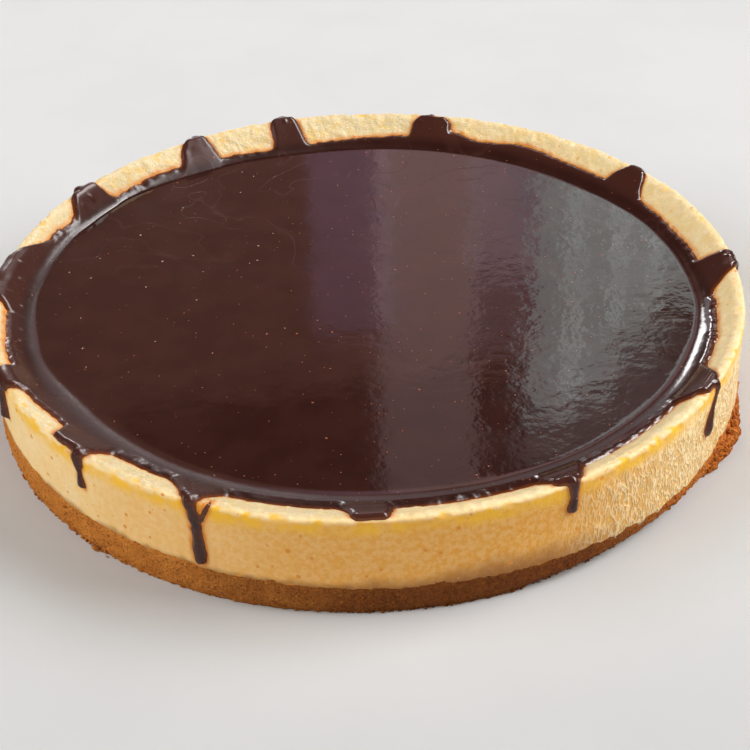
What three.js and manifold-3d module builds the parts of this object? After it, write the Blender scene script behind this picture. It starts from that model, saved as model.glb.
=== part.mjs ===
// A whole chocolate cheesecake from a 24 cm tin: a pressed biscuit base, a baked filling whose
// middle has sunk inside a raised rim, and dark ganache poured into the hollow, with thirteen
// tongues that climb over the rim and run down the side.
// Millimetres, +Z up. The origin is the middle of the underside. Azimuths are in degrees,
// counter-clockwise from +X seen from above, and the shown front faces -Y (270 degrees).
import * as THREE from "three";
import { mergeVertices } from "three/addons/utils/BufferGeometryUtils.js";
import Module from "manifold-3d";

const { clamp, degToRad, euclideanModulo, lerp, radToDeg, smoothstep } = THREE.MathUtils;

// ---- Driving dimensions ----
const tinRadius = 120;
const rimHeight = 33; // top of the baked rim
const rimWidth = 2.6; // from the rim's crest to the outer wall
const rimCornerDrop = 1.6; // how far the rim rolls down to meet the wall
const poolHeight = 26.3; // the ganache lies level, well below the rim
const poolDepth = 5; // ganache over the sunken middle
const coatThickness = 0.9; // ganache that clings to the rim's inner bank
const baseRadius = 119.4;
const baseMiddleHeight = 9; // the biscuit layer at the centre
const layerGap = 0.3; // clearance between touching layers

const crestRadius = tinRadius - rimWidth;
const segmentsAround = 72;

// ---- Values that change on the way round the cake ----

// A smooth closed curve through [azimuth, value] stations listed by rising azimuth.
function aroundTheCake(stations) {
  return (azimuth) => {
    const turn = euclideanModulo(azimuth, 360);
    const next = stations.findIndex(([at]) => at > turn);
    const [toAt, to] = stations.at(next < 0 ? 0 : next);
    const [fromAt, from] = stations.at(next < 0 ? -1 : next - 1);
    const span = euclideanModulo(toAt - fromAt, 360);
    return lerp(from, to, smoothstep(euclideanModulo(turn - fromAt, 360), 0, span));
  };
}

// Top of the biscuit layer at the wall: it was pressed thicker at the left than at the right.
const baseWallHeight = aroundTheCake([
  [20, 7.6], [90, 9], [150, 10.4], [212, 11.6], [237, 11.2], [270, 9.1], [285, 8.5], [305, 6.9],
]);
// Radius where the level pool meets the bank, as a share of the tin's radius.
const poolShare = aroundTheCake([
  [45, 0.86], [100, 0.87], [120, 0.9], [142, 0.935], [175, 0.928], [192, 0.914], [215, 0.89],
  [270, 0.889], [310, 0.909], [350, 0.912],
]);
// Radius that the thin coat reaches up the bank, as a share of the tin's radius.
const coatShare = aroundTheCake([
  [20, 0.921], [46, 0.923], [59, 0.934], [67, 0.92], [72, 0.937], [82, 0.921], [100, 0.91],
  [117, 0.919], [133, 0.94], [150, 0.95], [165, 0.957], [205, 0.964], [217, 0.936], [232, 0.902],
  [262, 0.895], [285, 0.898], [302, 0.915], [340, 0.937],
]);
const poolEdge = (azimuth) => tinRadius * poolShare(azimuth);
const coatEdge = (azimuth) => tinRadius * coatShare(azimuth);

// Two slow waves that keep a baked edge from being a perfect circle.
function unevenness(azimuth, amount) {
  const slowWave = Math.sin(degToRad(3 * azimuth + 40));
  const quickWave = Math.sin(degToRad(8 * azimuth));
  return amount * (0.6 * slowWave + 0.4 * quickWave);
}

// ---- Surfaces: the height at a radius and azimuth ----

// The larger of two heights, rounded where they meet.
function roundedMax(a, b, reach) {
  const share = clamp(0.5 + (a - b) / (2 * reach), 0, 1);
  return lerp(b, a, share) + reach * share * (1 - share);
}

const underside = () => 0;

function baseTop(radius, azimuth) {
  return lerp(baseMiddleHeight, baseWallHeight(azimuth), (radius / tinRadius) ** 2);
}

function fillingTop(radius, azimuth) {
  const edge = poolEdge(azimuth);
  const bankSlope = (rimHeight - poolHeight) / (crestRadius - edge);
  const bank = poolHeight + bankSlope * (radius - edge);
  const dish = roundedMax(bank, poolHeight - poolDepth, 1.5);
  const crowned = -roundedMax(-dish, -rimHeight, 0.8);
  const rolled = rimCornerDrop * Math.max(0, (radius - crestRadius) / rimWidth) ** 2;
  const onTheRim = smoothstep(radius, edge, crestRadius);
  return crowned - rolled + onTheRim * unevenness(azimuth, 0.4);
}

function ganacheTop(radius, azimuth) {
  return roundedMax(poolHeight, fillingTop(radius, azimuth) + coatThickness, 0.7);
}

// ---- Solids ----

const wasm = await Module();
wasm.setup();

// A closed three.js geometry as a solid that can be joined and cut.
function solidFrom(geometry) {
  const bare = geometry.clone();
  bare.deleteAttribute("normal");
  bare.deleteAttribute("uv");
  const merged = mergeVertices(bare, 1e-4);
  const corners = [];
  for (let i = 0; i < merged.index.count; i += 3) {
    const [a, b, c] = [0, 1, 2].map((k) => merged.index.getX(i + k));
    if (a !== b && b !== c && c !== a) corners.push(a, b, c);
  }
  return new wasm.Manifold(
    new wasm.Mesh({
      numProp: 3,
      vertProperties: new Float32Array(merged.attributes.position.array),
      triVerts: new Uint32Array(corners),
    }),
  );
}

// The largest body of a solid: a hollow that joining sealed is filled, a loose scrap is dropped.
function wholeOf(solid) {
  return solid.decompose().reduce((most, body) => (body.volume() > most.volume() ? body : most));
}

// A solid as a geometry with its own shading normals.
function geometryFrom(solid) {
  const { vertProperties, triVerts } = solid.getMesh();
  const geometry = new THREE.BufferGeometry();
  geometry.setAttribute("position", new THREE.BufferAttribute(vertProperties, 3));
  geometry.setIndex(new THREE.BufferAttribute(triVerts, 1));
  geometry.computeVertexNormals();
  return geometry;
}

// A round layer between two surfaces. The lathe's profile counts rings outwards in x and gives
// the share of the layer's thickness in y; each vertex then moves to its real radius and height.
function layer({ bottomRings, topRings, bottom, top, wallSteps, wallShape = () => 0 }) {
  const profile = [];
  const lastBelow = bottomRings(0).length - 1;
  const lastAbove = topRings(0).length - 1;
  for (let ring = 0; ring <= lastBelow; ring++) profile.push(new THREE.Vector2(ring, 0));
  for (let step = 1; step < wallSteps; step++) {
    profile.push(new THREE.Vector2(lastAbove, step / wallSteps));
  }
  for (let ring = lastAbove; ring >= 0; ring--) profile.push(new THREE.Vector2(ring, 1));
  const geometry = new THREE.LatheGeometry(profile, segmentsAround).rotateX(Math.PI / 2);
  const position = geometry.attributes.position;
  for (let i = 0; i < position.count; i++) {
    const [x, y, share] = [position.getX(i), position.getY(i), position.getZ(i)];
    const azimuth = Math.round(radToDeg(Math.atan2(y, x)) * 1000) / 1000;
    const rings = (share < 1e-6 ? bottomRings : topRings)(azimuth);
    const ring = Math.round(Math.hypot(x, y));
    const radius = rings[ring];
    const height = lerp(bottom(radius, azimuth), top(radius, azimuth), share);
    const atWall = ring === rings.length - 1;
    const reach = atWall ? radius + wallShape(azimuth, share) : radius;
    const angle = degToRad(azimuth);
    position.setXYZ(i, reach * Math.cos(angle), reach * Math.sin(angle), height);
  }
  return solidFrom(geometry);
}

// ---- Biscuit base ----

// The base stands a little inside the tin's wall and is craggy; its lower edge is worn back,
// most of all at the right of the front, where it has crumbled away underneath.
function crumbledWall(azimuth, share) {
  const grain = 0.45 * Math.sin(degToRad(azimuth * 47)) + 0.35 * Math.sin(degToRad(azimuth * 29) + 5 * share);
  const worn = lerp(1.2, 4.5, Math.exp(-(((azimuth + 46) / 16) ** 2)));
  return grain * (1 - share) - worn * (1 - smoothstep(share, 0, 0.6));
}

// A seeded draw between 0 and 1.
function seededDraw(seed) {
  let state = seed;
  return () => {
    state = (state * 16807) % 2147483647;
    return state / 2147483647;
  };
}

// Broken biscuit that spread out past the wall at the right: one craggy ledge of fused lumps,
// large and small by turns, furthest out in its middle.
const ledge = { from: 326, to: 347.5, lumps: 11, radius: 116.6, bulge: 3.6, height: 2.6 };
const ledgeLumpSizes = [3.2, 5, 4.2];

function ledgeLump(number, draw) {
  const along = number / (ledge.lumps - 1);
  const azimuth = lerp(ledge.from, ledge.to, along);
  const size = ledgeLumpSizes[number % ledgeLumpSizes.length] * lerp(0.9, 1.1, draw());
  const radius = ledge.radius + ledge.bulge * Math.sin(Math.PI * lerp(0.15, 0.85, along));
  const height = ledge.height * lerp(0.5, 1.5, draw());
  const ceiling = baseWallHeight(azimuth) - layerGap;
  const angle = degToRad(azimuth);
  const stretch = lerp(0.8, 1.3, draw());
  const craggy = (x, y, z) => 1 + 0.24 * Math.sin(6 * x + 5 * number) * Math.cos(5 * y - 7 * z);
  const geometry = new THREE.IcosahedronGeometry(1, 1);
  const position = geometry.attributes.position;
  for (let i = 0; i < position.count; i++) {
    const [x, y, z] = [position.getX(i), position.getY(i), position.getZ(i)];
    const reach = size * craggy(x, y, z);
    position.setXYZ(
      i,
      radius * Math.cos(angle) + reach * x,
      radius * Math.sin(angle) + reach * y * stretch,
      clamp(height + reach * z, 0, ceiling),
    );
  }
  return solidFrom(geometry);
}

// The biscuit and the filling meet along the same rings, so that the gap between them is even.
const seamRings = (outerRadius) => () => [0, 60, 100, outerRadius];

function biscuitBase() {
  const disc = layer({
    bottomRings: seamRings(baseRadius),
    topRings: seamRings(baseRadius),
    bottom: underside,
    top: baseTop,
    wallSteps: 4,
    wallShape: crumbledWall,
  });
  const draw = seededDraw(21);
  let base = disc;
  for (let number = 0; number < ledge.lumps; number++) base = base.add(ledgeLump(number, draw));
  return base;
}

// ---- Baked filling ----

// Rings bunch up where the dish turns into the bank and the bank into the rim.
const fillingRings = (azimuth) => {
  const edge = poolEdge(azimuth);
  return [0, 60, 85, edge - 15, edge - 9, edge - 4, lerp(edge, crestRadius, 0.3),
    lerp(edge, crestRadius, 0.75), crestRadius, crestRadius + 0.6 * rimWidth, tinRadius];
};

const fillingWall = (azimuth) => unevenness(azimuth + 120, 0.35);

// The filling, or with a clearance the space that the ganache keeps out of.
function bakedFilling(clearance = 0) {
  return layer({
    bottomRings: seamRings(tinRadius),
    topRings: fillingRings,
    bottom: (radius, azimuth) => baseTop(radius, azimuth) + layerGap,
    top: (radius, azimuth) => fillingTop(radius, azimuth) + clearance,
    wallSteps: 3,
    wallShape: (azimuth) => fillingWall(azimuth) + clearance,
  });
}

// ---- Ganache ----

const strandSides = 8;
const strandSteps = 9;

// A tapering strand that follows a path in the plane of one azimuth. A sphere's poles become
// the ends of the path, and each of its rings becomes an oval section across it.
function strand({ azimuth, path, width, height, lean = 0 }) {
  const curve = new THREE.CatmullRomCurve3(path.map(([r, z]) => new THREE.Vector3(r, 0, z)));
  const geometry = new THREE.SphereGeometry(1, strandSides, strandSteps);
  const position = geometry.attributes.position;
  for (let i = 0; i < position.count; i++) {
    const ball = new THREE.Vector3().fromBufferAttribute(position, i);
    const share = Math.acos(clamp(ball.y, -1, 1)) / Math.PI;
    const ringReach = Math.sqrt(Math.max(0, 1 - ball.y ** 2));
    const [acrossUnit, upUnit] = ringReach < 1e-6 ? [0, 0] : [ball.x / ringReach, ball.z / ringReach];
    const rounding = Math.sqrt(ringReach);
    const across = (acrossUnit * rounding * width(share)) / 2;
    const up = upUnit * rounding * height(share);
    const centre = curve.getPointAt(share);
    const along = curve.getTangentAt(share);
    const radius = centre.x - along.z * up;
    const turn = degToRad(azimuth + lean * share) + across / tinRadius;
    position.setXYZ(i, radius * Math.cos(turn), radius * Math.sin(turn), centre.z + along.x * up);
  }
  return solidFrom(geometry);
}

// The way a tongue takes from the pool's edge: up the bank, over the rim and down the wall.
function overTheRim(azimuth, drop) {
  const edge = poolEdge(azimuth);
  const onTop = (radius) => [radius, fillingTop(radius, azimuth)];
  const wall = tinRadius + fillingWall(azimuth);
  return [
    onTop(lerp(edge, crestRadius, 0.15)),
    onTop(lerp(edge, crestRadius, 0.65)),
    onTop(crestRadius),
    onTop(tinRadius - 0.3),
    [wall, rimHeight - lerp(rimCornerDrop, drop, 0.5)],
    [wall, rimHeight - drop],
  ];
}

// The wide part of a tongue, which rises out of the pool and lies over the rim.
function tongueFlap({ azimuth, rootWidth, tipWidth, thickness, overhang }) {
  const insideThePool = [poolEdge(azimuth) - 5, poolHeight - 3.2];
  return strand({
    azimuth,
    path: [insideThePool, ...overTheRim(azimuth, overhang)],
    width: (share) => lerp(rootWidth, tipWidth, smoothstep(share, 0.25, 0.8)),
    height: () => thickness,
  });
}

// The run below it: a thin stem down the wall that ends in a fuller drop.
function wallRun({ azimuth, length, stemWidth, dropWidth, lean = 0 }) {
  return strand({
    azimuth,
    path: overTheRim(azimuth, length).slice(1),
    lean,
    width: (share) => lerp(stemWidth, dropWidth, smoothstep(share, 0.55, 0.85)),
    height: (share) => lerp(1.5, 2, smoothstep(share, 0.5, 0.85)),
  });
}

// Every tongue in order round the cake, and the runs that leave it.
const tongues = [
  { azimuth: 3.5, rootWidth: 19, tipWidth: 11, thickness: 2.4, overhang: 4, runs: [{ at: 3, length: 11 }] },
  { azimuth: 33.5, rootWidth: 20, tipWidth: 8, thickness: 2.6, overhang: 4, runs: [{ at: 35, length: 14 }] },
  { azimuth: 76.5, rootWidth: 15, tipWidth: 13, thickness: 3.2, overhang: 4, runs: [{ at: 77, length: 17 }] },
  { azimuth: 105, rootWidth: 16, tipWidth: 13, thickness: 2.8, overhang: 4, runs: [{ at: 104.5, length: 9 }] },
  { azimuth: 122.8, rootWidth: 19, tipWidth: 10, thickness: 2.8, overhang: 4, runs: [{ at: 122, length: 15 }] },
  { azimuth: 148.7, rootWidth: 20, tipWidth: 14, thickness: 2.4, overhang: 4, runs: [{ at: 147, length: 12 }] },
  { azimuth: 172.5, rootWidth: 30, tipWidth: 17, thickness: 1.8, overhang: 4, runs: [{ at: 171, length: 18 }] },
  { azimuth: 203.5, rootWidth: 15, tipWidth: 8, thickness: 1.6, overhang: 4, runs: [{ at: 203.5, length: 14 }] },
  { azimuth: 224.5, rootWidth: 18, tipWidth: 15, thickness: 1.8, overhang: 3.8, runs: [{ at: 226.7, length: 12 }] },
  {
    azimuth: 245.2, rootWidth: 18, tipWidth: 15, thickness: 1.7, overhang: 3.8,
    runs: [{ at: 246.5, length: 20.5 }, { at: 248.2, length: 11, lean: -1, slender: true }],
  },
  { azimuth: 269.5, rootWidth: 16, tipWidth: 12, thickness: 1.6, overhang: 4.2, runs: [] },
  { azimuth: 297.2, rootWidth: 13, tipWidth: 8, thickness: 1.7, overhang: 4, runs: [{ at: 297.5, length: 10 }] },
  { azimuth: 328, rootWidth: 18, tipWidth: 9, thickness: 1.9, overhang: 4, runs: [{ at: 327.5, length: 17.5 }] },
];
const stemWidth = 3;
const dropWidth = 4.4;

function chocolateGanache() {
  const ganacheRings = (azimuth) => {
    const edge = poolEdge(azimuth);
    return [0, 60, edge - 9, edge - 1.2, edge + 0.4, Math.max(coatEdge(azimuth), edge + 0.8)];
  };
  let ganache = layer({
    bottomRings: ganacheRings,
    topRings: ganacheRings,
    bottom: (radius, azimuth) => fillingTop(radius, azimuth) - 1,
    top: ganacheTop,
    wallSteps: 1,
  });
  for (const { runs, ...flap } of tongues) {
    ganache = ganache.add(tongueFlap(flap));
    for (const { at, length, lean = 0, slender = false } of runs) {
      const thinning = slender ? 0.6 : 1;
      ganache = ganache.add(
        wallRun({
          azimuth: at,
          length,
          lean,
          stemWidth: thinning * stemWidth,
          dropWidth: thinning * dropWidth,
        }),
      );
    }
  }
  return ganache;
}

// ---- The cake ----

const fillingSpace = bakedFilling(layerGap);

function named(name, solid, color, roughness) {
  const material = new THREE.MeshStandardMaterial({ color, roughness, metalness: 0 });
  const mesh = new THREE.Mesh(geometryFrom(solid), material);
  mesh.name = name;
  return mesh;
}

const cheesecake = new THREE.Group();
cheesecake.add(
  named("biscuit_base", wholeOf(biscuitBase()), "#a06a38", 0.95),
  named("cheesecake_filling", bakedFilling(), "#f2d392", 0.75),
  named("chocolate_ganache", wholeOf(chocolateGanache().subtract(fillingSpace)), "#38201a", 0.2),
);

export default cheesecake;
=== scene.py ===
# %% [markdown]
# # A chocolate cheesecake, built in cells
# The cake comes from a round tin 24 cm across. A pressed biscuit layer carries a pale baked filling,
# whose middle has sunk, and dark ganache fills the hollow and runs over the rim.
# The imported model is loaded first. It says where everything is, so nothing here is fitted by eye.

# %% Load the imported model
import itertools
import math
from collections import namedtuple

import bpy
import numpy as np
from mathutils import Matrix, Vector


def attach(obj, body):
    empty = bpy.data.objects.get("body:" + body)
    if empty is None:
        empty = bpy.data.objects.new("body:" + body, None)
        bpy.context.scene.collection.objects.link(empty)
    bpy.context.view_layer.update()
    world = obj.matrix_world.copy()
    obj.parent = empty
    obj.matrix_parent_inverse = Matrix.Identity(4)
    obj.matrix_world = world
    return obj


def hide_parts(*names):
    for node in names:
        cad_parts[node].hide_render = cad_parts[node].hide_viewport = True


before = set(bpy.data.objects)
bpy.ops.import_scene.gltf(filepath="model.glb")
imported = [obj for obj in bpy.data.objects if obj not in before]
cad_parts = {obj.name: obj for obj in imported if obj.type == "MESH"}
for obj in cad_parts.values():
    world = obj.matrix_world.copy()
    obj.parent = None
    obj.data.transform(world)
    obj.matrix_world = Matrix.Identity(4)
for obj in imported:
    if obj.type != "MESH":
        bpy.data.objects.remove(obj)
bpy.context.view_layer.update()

MM = 0.001
TIN_RADIUS = 120 * MM
RIM_HEIGHT = 33 * MM
POOL_HEIGHT = 26.3 * MM
DISH_FLOOR = 21.3 * MM
CREST_RADIUS = 117.4 * MM
CORNER = 1.0 * MM
TURN = TIN_RADIUS - CORNER
WALL_START = TURN + CORNER * math.pi / 2

# %% [markdown]
# ## Set up the camera before modelling
# The photo was taken from about 35 degrees above, with a long lens and a slight tilt.
# It is set before anything is modelled, so it comes first.

# %% Camera
PITCH, ROLL = math.radians(35.21), math.radians(-1.85)
CAMERA_PLACE = (0.00204, -0.48144, 0.33588)
LENS, SENSOR = 84.67, 36
looking = Vector((0, math.cos(PITCH), -math.sin(PITCH)))
sideways = Vector((1, 0, 0))
upwards = sideways.cross(looking)
tilted_side = math.cos(ROLL) * sideways + math.sin(ROLL) * upwards
tilted_up = math.cos(ROLL) * upwards - math.sin(ROLL) * sideways
camera = bpy.data.objects.new("camera", bpy.data.cameras.new("camera"))
bpy.context.scene.collection.objects.link(camera)
camera.matrix_world = Matrix.Translation(CAMERA_PLACE) @ Matrix(
    (tilted_side, tilted_up, -looking)
).transposed().to_4x4()
camera.data.lens = LENS
camera.data.sensor_width = SENSOR
bpy.context.scene.camera = camera
print("the camera looks down", round(math.degrees(PITCH), 1), "degrees")

# %% [markdown]
# ## Measure the cake once, as functions
# A real cake is never quite round or level. These small functions give its height and width at any
# azimuth (0 is +X, 270 is the front), and each layer below is laid over the same ones, so they fit.
# The numbers could be written into every mesh instead, but then the layers would soon disagree.

# %% The cake's own shape
def smooth_step(value, start, end):
    share = np.clip((value - start) / (end - start), 0, 1)
    return share * share * (3 - 2 * share)


def round_the_cake(stations):
    """A function that reads (azimuth, value) stations at any azimuth, with smooth passages between."""
    at = np.array([a for a, _ in stations] + [stations[0][0] + 360.0])
    value = np.array([v for _, v in stations] + [stations[0][1]], float)

    def read(azimuth):
        turned = (np.degrees(azimuth) - at[0]) % 360.0 + at[0]
        i = np.clip(np.searchsorted(at, turned, side="right") - 1, 0, len(at) - 2)
        return value[i] + (value[i + 1] - value[i]) * smooth_step(turned, at[i], at[i + 1])

    return read


# Stations are (azimuth in degrees, value): mm here, and a share of the tin's radius below.
biscuit_height = round_the_cake([
    (20, 7.6), (90, 9), (150, 10.4), (212, 11.6), (237, 11.2), (270, 9.1), (285, 8.7), (299, 7.6),
    (308, 6.6), (316, 6.0), (321, 5.6), (328, 6.7), (345, 6.9)])
pool_share = round_the_cake([
    (20, 0.903), (45, 0.886), (100, 0.884), (120, 0.903), (142, 0.935), (175, 0.928), (192, 0.914),
    (215, 0.89), (270, 0.889), (310, 0.909), (350, 0.912)])


def rounded_max(a, b, reach):
    """The larger of two heights, with a fillet where they meet."""
    share = np.clip(0.5 + (a - b) / (2 * reach), 0, 1)
    return b + (a - b) * share + reach * share * (1 - share)


def unevenness(azimuth, amount):
    return amount * (0.6 * np.sin(3 * azimuth + math.radians(40)) + 0.4 * np.sin(8 * azimuth))


def side_bulge(azimuth):
    return unevenness(azimuth + math.radians(120), 0.35 * MM)


def filling_top(radius, azimuth):
    edge = pool_share(azimuth) * TIN_RADIUS
    slope = (RIM_HEIGHT - POOL_HEIGHT) / (CREST_RADIUS - edge)
    dish = rounded_max(POOL_HEIGHT + slope * (radius - edge), DISH_FLOOR, 1.5 * MM)
    crowned = -rounded_max(-dish, -RIM_HEIGHT, 0.8 * MM)
    return crowned + smooth_step(radius, edge, CREST_RADIUS) * unevenness(azimuth, 0.4 * MM)


def over_the_cake(along, azimuth):
    """Radius and height of a point that lies so far from the middle, along the top and down the side."""
    bend = np.clip((along - TURN) / CORNER, 0, math.pi / 2)
    bulge = side_bulge(azimuth) * smooth_step(along, TURN - 10 * MM, WALL_START)
    radius = np.minimum(along, TURN) + CORNER * np.sin(bend) + bulge
    height = filling_top(np.minimum(along, TURN), azimuth) - CORNER * (1 - np.cos(bend))
    return radius, height - np.maximum(along - WALL_START, 0)


def facing(along, azimuth):
    """Which way the surface faces there, as a share outwards and a share upwards."""
    step = 0.2 * MM
    (r1, z1), (r2, z2) = over_the_cake(along - step, azimuth), over_the_cake(along + step, azimuth)
    length = np.hypot(r2 - r1, z2 - z1)
    return (z1 - z2) / length, (r2 - r1) / length


print("rim", round(float(over_the_cake(CREST_RADIUS, 0.0)[1]) * 1000, 2), "mm high at azimuth 0")

# %% [markdown]
# ## Noise for baked and broken surfaces
# Sponge, crumb and creased skin are all uneven in their own way, but each is a sum of smooth bumps of a
# few sizes. A Displace modifier could do this too. One seeded lattice of numbers, read with numpy, lets
# the same bumps be stretched along the side or faded out under the ganache.

# %% Seeded noise
LATTICE = np.random.default_rng(24).uniform(-1, 1, (64, 64, 64))
OFF_AXIS = np.array([[0.8, 0.36, -0.48], [-0.6, 0.48, -0.64], [0, 0.8, 0.6]])


def bumps(points, size, stretch=(1, 1, 1)):
    """Smooth noise from -1 to 1. Its bumps are about `size` across, times the stretch on each axis."""
    turned = points @ OFF_AXIS if stretch == (1, 1, 1) else points
    scaled = turned / (np.array(stretch) * size)
    corner = np.floor(scaled).astype(int)
    part = scaled - corner
    part = part * part * (3 - 2 * part)
    total = np.zeros(len(points))
    for step in itertools.product((0, 1), repeat=3):
        weight = np.prod(np.where(np.array(step) == 1, part, 1 - part), axis=1)
        x, y, z = ((corner + step) & 63).T
        total += weight * LATTICE[x, y, z]
    return total


def layered_bumps(points, size, layers=3):
    return sum(bumps(points + 7.3 * k * size, size / 2.1**k) / 1.7**k for k in range(layers))


def place(radius, azimuth, height):
    return np.column_stack([radius * np.cos(azimuth), radius * np.sin(azimuth), height])


print("noise at the middle:", round(float(bumps(np.zeros((1, 3)), MM)[0]), 3))

# %% [markdown]
# ## A flat round sheet, to be laid over the cake
# Baked skin and poured ganache both follow the cake from its middle, over the rim and down the side.
# So each starts as a flat sheet of rings: a circle, extruded outwards again and again. Fine rings go where
# detail is, and a band with fewer points is bridged to them. The distance from the middle later becomes
# the distance along the cake. A Grid bent over the cake would bunch up at the edge. Rings don't.

# %% Flat sheets of rings
def read_points(piece):
    points = np.empty(len(piece.data.vertices) * 3, np.float32)
    piece.data.vertices.foreach_get("co", points)
    return points.reshape(-1, 3).astype(float)


def move_points(piece, points):
    piece.data.vertices.foreach_set("co", points.astype(np.float32).ravel())
    piece.data.update()


def choose_ring_edges(piece, low, high):
    """Leaves edit mode for a moment and selects only the edges that lie between two radii."""
    bpy.ops.mesh.select_all(action="DESELECT")
    bpy.ops.object.mode_set(mode="OBJECT")
    radius = np.hypot(*read_points(piece).T[:2])
    ends = np.empty(len(piece.data.edges) * 2, np.int32)
    piece.data.edges.foreach_get("vertices", ends)
    both = radius[ends.reshape(-1, 2)]
    piece.data.edges.foreach_set("select", ((both >= low) & (both <= high)).all(axis=1))
    bpy.ops.object.mode_set(mode="EDIT")


def sheet_of_rings(name, bands):
    """Each band is (points round, ring radii). Ends in edit mode, with the middle closed."""
    bpy.ops.object.select_all(action="DESELECT")
    for number, (points, radii) in enumerate(bands):
        bpy.ops.mesh.primitive_circle_add(vertices=points, radius=radii[0])
        if number == 0:
            sheet = bpy.context.object
            sheet.name = sheet.data.name = name
            bpy.ops.object.mode_set(mode="EDIT")
            bpy.ops.mesh.select_mode(type="EDGE")
        for inner, outer in zip(radii, radii[1:]):
            bpy.ops.mesh.extrude_edges_move()
            bpy.ops.transform.resize(value=(outer / inner, outer / inner, 1), center_override=(0, 0, 0))
    for (_, inner_band), (_, outer_band) in zip(bands, bands[1:]):
        choose_ring_edges(sheet, inner_band[-1] - 0.01 * MM, outer_band[0] + 0.01 * MM)
        bpy.ops.mesh.bridge_edge_loops()
    choose_ring_edges(sheet, 0, bands[0][1][0] + 0.01 * MM)
    bpy.ops.mesh.edge_face_add()
    return sheet


def close_outer_ring(sheet, radius):
    choose_ring_edges(sheet, radius - 0.01 * MM, radius + 0.01 * MM)
    bpy.ops.mesh.edge_face_add()


def face_outwards(piece):
    """Leaves edit mode with every face pointing out and smooth."""
    bpy.ops.mesh.select_all(action="SELECT")
    bpy.ops.mesh.remove_doubles(threshold=0.002 * MM)
    bpy.ops.mesh.normals_make_consistent(inside=False)
    bpy.ops.object.mode_set(mode="OBJECT")
    bpy.ops.object.shade_smooth()


def even_steps(start, end, step):
    return list(np.linspace(start, end, max(2, round((end - start) / step) + 1)))


FINE, MIDDLING, COARSE = 1440, 360, 60
print("one fine step is", round(2 * math.pi * TIN_RADIUS / FINE / MM, 2), "mm at the rim")

# %% [markdown]
# ## Where the ganache reaches
# Ganache is poured while warm. It fills the hollow, clings to the bank, and climbs over the rim in
# tongues, from which drips run down the side. Its outline on the flat sheet is a signed distance:
# each tongue is a rounded wedge, each drip a chain of round-ended strokes, and all are melted together.
# Sculpting every tongue would also work, but a distance gives the rounded edge of a liquid for free.

# %% Tongues and drips
Tongue = namedtuple("Tongue", "sides thickness drips")
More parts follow.
